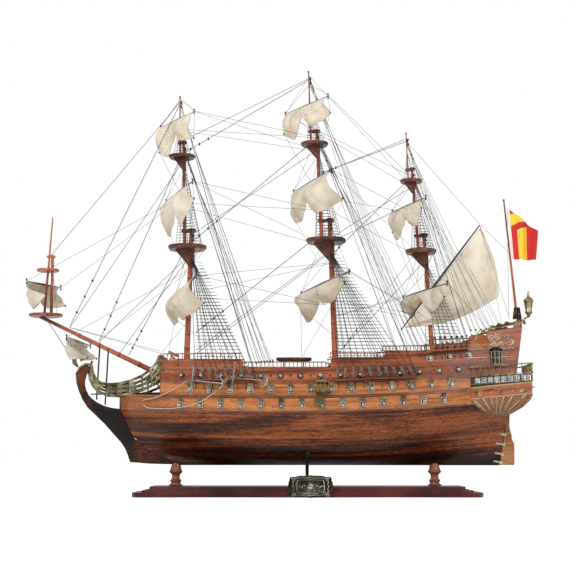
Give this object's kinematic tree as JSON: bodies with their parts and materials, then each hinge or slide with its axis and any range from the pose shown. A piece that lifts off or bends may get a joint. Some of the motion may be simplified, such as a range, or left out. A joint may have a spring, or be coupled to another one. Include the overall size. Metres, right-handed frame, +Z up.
{
  "type": "model sailing ship",
  "caption": "Three-masted wooden display model of a sailing warship with rigging, hauled-up sails and gun decks; it rests in the slots of its stand, and its rudder swings.",
  "frame": {"origin": "the middle of the underside of the stand's base board, on the table", "axes": "+X from bow to stern along the keel, +Y to starboard, +Z up"},
  "size_m": [0.9525, 0.3098, 0.8029],
  "materials": {
    "stand_cherry": "gloss lacquer",
    "pedestal_wood": "gloss lacquer",
    "black_steel": "semi-gloss black",
    "pewter": "antiqued",
    "keel_wood": "gloss lacquer",
    "rosewood": "gloss lacquer",
    "orange_wood": "gloss lacquer",
    "red_wood": "gloss lacquer",
    "trim_wood": "gloss lacquer",
    "deck_wood": "satin lacquer",
    "mast_wood": "gloss lacquer",
    "top_wood": "gloss lacquer",
    "yard_wood": "satin lacquer",
    "antique_brass": "antiqued casting",
    "bright_metal": "bright plated casting",
    "rudder_brass": "polished",
    "window_silver": "silver paint",
    "iron_black": "blackened",
    "sailcloth": "starched cotton",
    "rigging_cord": "waxed cord",
    "pale_cord": "cotton cord",
    "flag_cloth": "printed cotton"
  },
  "bodies": {
    "stand": {"stand_base": "stand_cherry", "stand_pedestals": "pedestal_wood", "cradle_bracket": "black_steel", "nameplate": "pewter"},
    "ship": {"keel_and_stem": "keel_wood", "bottom_planking_port": "rosewood", "bottom_planking_starboard": "rosewood", "lower_topside_port": "orange_wood", "lower_topside_starboard": "orange_wood", "upper_topside_port": "red_wood", "upper_topside_starboard": "red_wood", "wales": "trim_wood", "cap_rails": "trim_wood", "transom": "red_wood", "quarter_galleries": "red_wood", "gallery_windows": "window_silver", "gallery_rails": "antique_brass", "taffrail": "antique_brass", "stern_lantern": "antique_brass", "head_rails": "antique_brass", "beakhead": "red_wood", "figurehead": "antique_brass", "forecastle_deck": "deck_wood", "waist_deck": "deck_wood", "quarterdeck": "deck_wood", "poop_deck": "deck_wood", "deck_bulkheads": "red_wood", "deck_rails": "trim_wood", "gunport_frames": "bright_metal", "gunport_lids": "antique_brass", "gun_barrels": "bright_metal", "port_wreaths": "antique_brass", "entry_balconies": "antique_brass", "channels": "red_wood", "deadeyes": "yard_wood", "catheads": "trim_wood", "anchors": "iron_black", "anchor_cables": "pale_cord", "ships_boat": "yard_wood", "fore_mast": "mast_wood", "main_mast": "mast_wood", "mizzen_mast": "mast_wood", "topmasts": "mast_wood", "topgallant_masts": "mast_wood", "mast_tops": "top_wood", "bowsprit": "mast_wood", "sprit_topmast": "mast_wood", "square_yards": "yard_wood", "lateen_yard": "yard_wood", "fore_sails": "sailcloth", "main_sails": "sailcloth", "mizzen_sails": "sailcloth", "sprit_sails": "sailcloth", "shrouds": "rigging_cord", "stays": "rigging_cord", "flagstaff": "mast_wood", "flag": "flag_cloth", "gudgeons": "bright_metal"},
    "rudder": {"rudder_blade": "rosewood", "rudder_pintles": "rudder_brass"}
  },
  "joints": [
    {"name": "ship_lift", "type": "slide", "parent": "stand", "child": "ship", "axis": [0, 0, 1], "range_m": [0, 0.06]},
    {"name": "rudder_swing", "type": "hinge", "parent": "ship", "child": "rudder", "pos_m": [0.35383, 0, 0.0556], "axis": [0.1628, 0, 0.9867], "range_deg": [-35, 35]}
  ]
}
